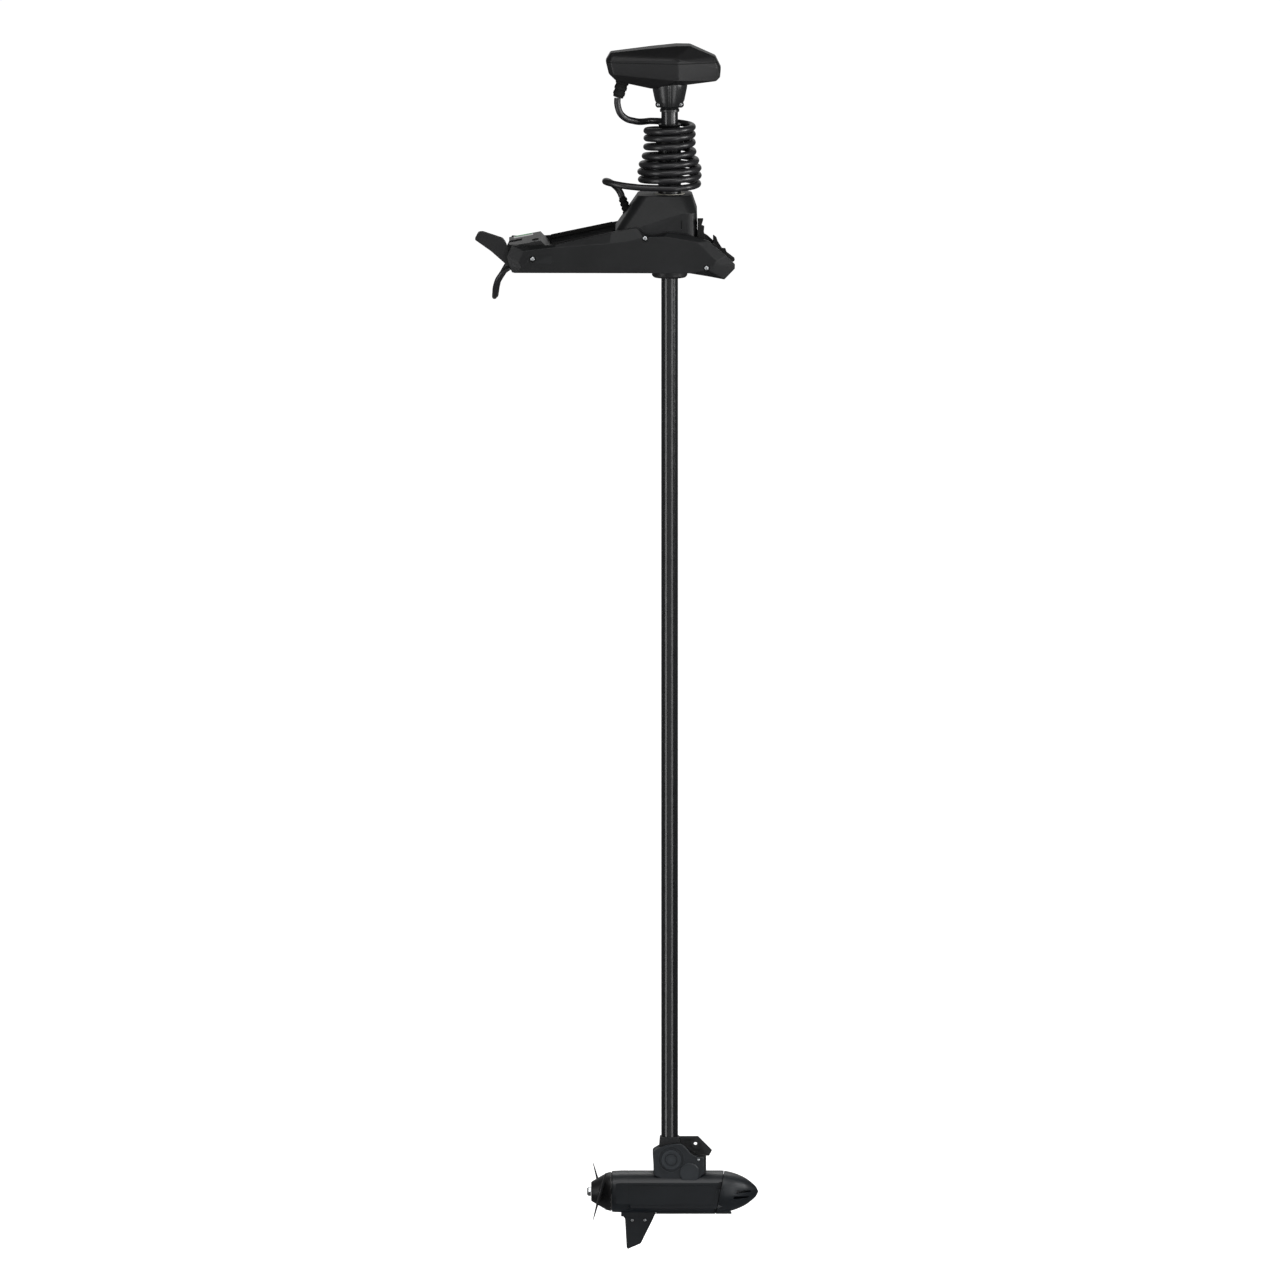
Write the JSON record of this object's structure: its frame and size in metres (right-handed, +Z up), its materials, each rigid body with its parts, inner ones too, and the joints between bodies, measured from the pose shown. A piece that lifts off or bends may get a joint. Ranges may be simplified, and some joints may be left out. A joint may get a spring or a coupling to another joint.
{
  "type": "trolling motor",
  "caption": "Bow-mount electric trolling motor on a long steerable shaft, with a stow-away deck base, coiled head cord, foot release pedal and weedless propeller.",
  "frame": {"origin": "centre of the base's underside, where it is bolted to the deck", "axes": "+Z up along the shaft, +X the way the motor pulls, towards the bow, -Y starboard"},
  "size_m": [0.593, 0.349, 2.536],
  "materials": {
    "cast": "fine-textured black powder coat on cast aluminium",
    "plastic": "satin moulded black",
    "rubber": "matt moulded rubber",
    "steel": "bright stainless",
    "nylon": "natural nylon",
    "shaft": "glossy black composite tube",
    "motor": "smooth blue-black paint",
    "blade": "glass-filled nylon, satin",
    "cord": "satin cable jacket",
    "copper": "wound copper",
    "magnet": "sintered magnet",
    "board": "solder-masked board",
    "lens": "clear smoked lens over green bars"
  },
  "bodies": {
    "base": {"side_plate_starboard": "cast", "side_plate_port": "cast", "rest_pad_starboard": "rubber", "rest_pad_port": "rubber", "channel_rail_starboard": "rubber", "channel_rail_port": "rubber", "plate_screw_rear": "steel", "plate_screw_middle": "steel", "plate_screw_front": "steel", "base_floor_plate": "cast", "pivot_axle": "steel", "rear_crossbar": "cast", "display_box": "plastic", "display_window": "lens", "display_board": "board", "pedal_pin": "steel", "power_cable_gland": "rubber", "power_cable": "cord", "power_cable_hank": "cord", "power_plug": "plastic"},
    "tower": {"tower_housing": "cast", "tower_base_cover": "cast", "guide_collar": "plastic", "lower_bush": "nylon", "upper_bush": "nylon", "tower_bumper": "rubber", "steering_servo": "motor", "coil_cord": "cord", "coil_cord_tower_lead": "cord", "tower_cord_gland": "rubber"},
    "steering_hub": {"steering_gear": "nylon", "steering_sleeve": "steel", "depth_collar": "plastic"},
    "shaft": {"shaft_tube": "shaft", "head_cover": "plastic", "head_base": "plastic", "head_board": "board", "head_cord_gland": "rubber", "head_neck": "plastic", "coil_cord_head_lead": "cord", "bracket_ear": "cast", "motor_bracket": "cast", "bracket_cover_starboard": "plastic", "bracket_cover_port": "plastic", "motor_housing": "motor", "motor_nose": "motor", "motor_rear_cap": "motor", "rear_bearing": "steel", "front_bearing": "steel", "magnet_ring": "magnet", "skeg": "motor"},
    "propeller": {"armature_core": "copper", "armature_shaft": "steel", "drive_pin": "steel", "propeller": "blade", "propeller_nut": "steel"},
    "servo_pinion": {"servo_pinion": "steel"},
    "release_pedal": {"release_pedal": "plastic"},
    "latch_bolt": {"latch_bolt": "steel"},
    "power_button": {"power_button": "rubber"}
  },
  "joints": [
    {"name": "mount_pivot", "type": "hinge", "parent": "base", "child": "tower", "pos_m": [0.066, 0, 0.08], "axis": [0, -1, 0], "range_deg": [0, 90]},
    {"name": "steering", "type": "hinge", "parent": "tower", "child": "steering_hub", "pos_m": [0.1455, 0, 0], "axis": [0, 0, 1], "range_deg": [-180, 180]},
    {"name": "depth", "type": "slide", "parent": "steering_hub", "child": "shaft", "axis": [0, 0, 1], "range_m": [0, 1.5]},
    {"name": "propeller_spin", "type": "hinge", "parent": "shaft", "child": "propeller", "pos_m": [0, 0, -1.9455], "axis": [1, 0, 0], "continuous": true},
    {"name": "servo_spin", "type": "hinge", "parent": "tower", "child": "servo_pinion", "pos_m": [0.0975, 0, 0.065], "axis": [0, 0, 1], "range_deg": [-545, 545]},
    {"name": "pedal_press", "type": "hinge", "parent": "base", "child": "release_pedal", "pos_m": [-0.178, 0, 0.017], "axis": [0, -1, 0], "range_deg": [0, 18], "stiffness_Nm_per_rad": 4, "springref_deg": -5.73},
    {"name": "latch_slide", "type": "slide", "parent": "base", "child": "latch_bolt", "axis": [-1, 0, 0], "range_m": [0, 0.0048]},
    {"name": "power_press", "type": "slide", "parent": "base", "child": "power_button", "axis": [0.1861, 0, -0.9825], "range_m": [0, 0.0015], "stiffness_N_per_m": 600, "springref_m": -0.001}
  ],
  "couplings": [
    {"joint": "servo_spin", "follows": "steering", "ratio": -3},
    {"joint": "latch_slide", "follows": "pedal_press", "m_per_rad": 0.015}
  ]
}
